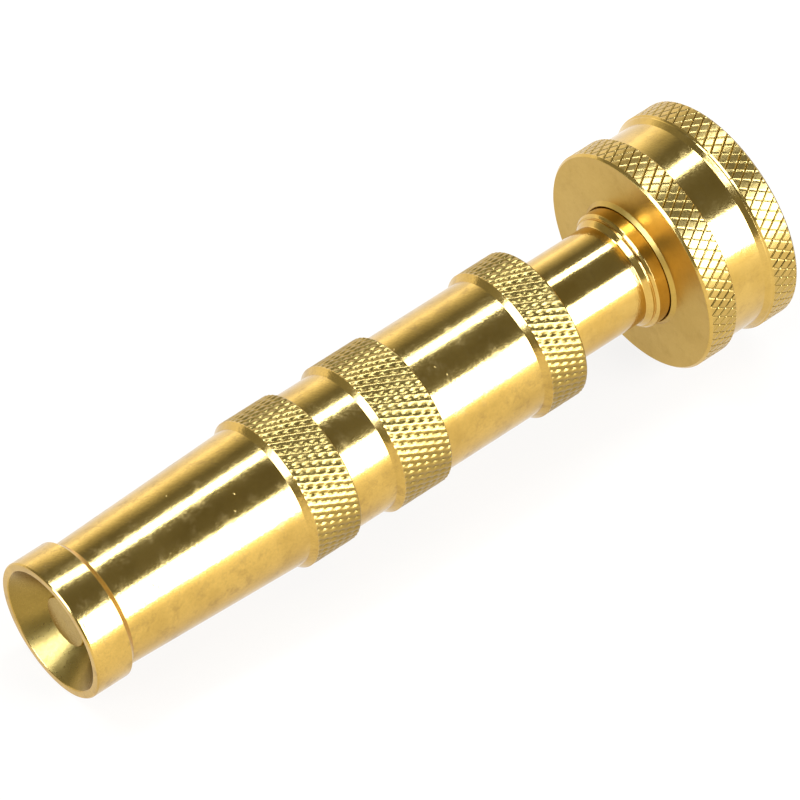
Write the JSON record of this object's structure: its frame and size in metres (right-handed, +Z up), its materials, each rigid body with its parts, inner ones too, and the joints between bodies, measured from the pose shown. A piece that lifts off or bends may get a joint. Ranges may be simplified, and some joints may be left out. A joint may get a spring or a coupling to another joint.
{
  "type": "hose spray nozzle",
  "caption": "Slim all-metal garden hose nozzle: a knurled barrel twists along a hollow stem to open and shape the spray, and a swivel coupling screws onto the hose.",
  "frame": {"origin": "on the spray axis, halfway between the mouth and the open end of the coupling", "axes": "+X along the spray axis, the way the water leaves; +Z up with the nozzle lying on its side"},
  "size_m": [0.106, 0.0304, 0.0304],
  "materials": {
    "barrel_brass": "bright turned brass with fine tool marks and knurled grip bands",
    "stem_brass": "bright turned brass, smooth neck and collar",
    "plug_brass": "faced brass, slightly duller and greyer",
    "eyelet_brass": "plain turned brass",
    "coupling_brass": "satin faced front, polished groove and knurled bands",
    "ring_rubber": "smooth black nitrile rubber",
    "washer_rubber": "matt black rubber"
  },
  "bodies": {
    "stem": {"stem": "stem_brass", "spray_plug": "plug_brass", "swivel_eyelet": "eyelet_brass", "shutoff_o_ring": "ring_rubber", "stem_o_ring": "ring_rubber"},
    "wiper": {"neck_wiper_ring": "ring_rubber"},
    "barrel": {"barrel": "barrel_brass"},
    "coupling": {"coupling_nut": "coupling_brass", "hose_washer": "washer_rubber"}
  },
  "joints": [
    {"name": "barrel_travel", "type": "slide", "parent": "stem", "child": "wiper", "axis": [1, 0, 0], "range_m": [0, 0.003]},
    {"name": "barrel_twist", "type": "hinge", "parent": "wiper", "child": "barrel", "pos_m": [0, 0, 0], "axis": [1, 0, 0], "range_deg": [0, 540]},
    {"name": "coupling_swivel", "type": "hinge", "parent": "stem", "child": "coupling", "pos_m": [0, 0, 0], "axis": [1, 0, 0], "continuous": true}
  ],
  "couplings": [
    {"joint": "barrel_twist", "follows": "barrel_travel", "rad_per_m": 3141.6}
  ]
}
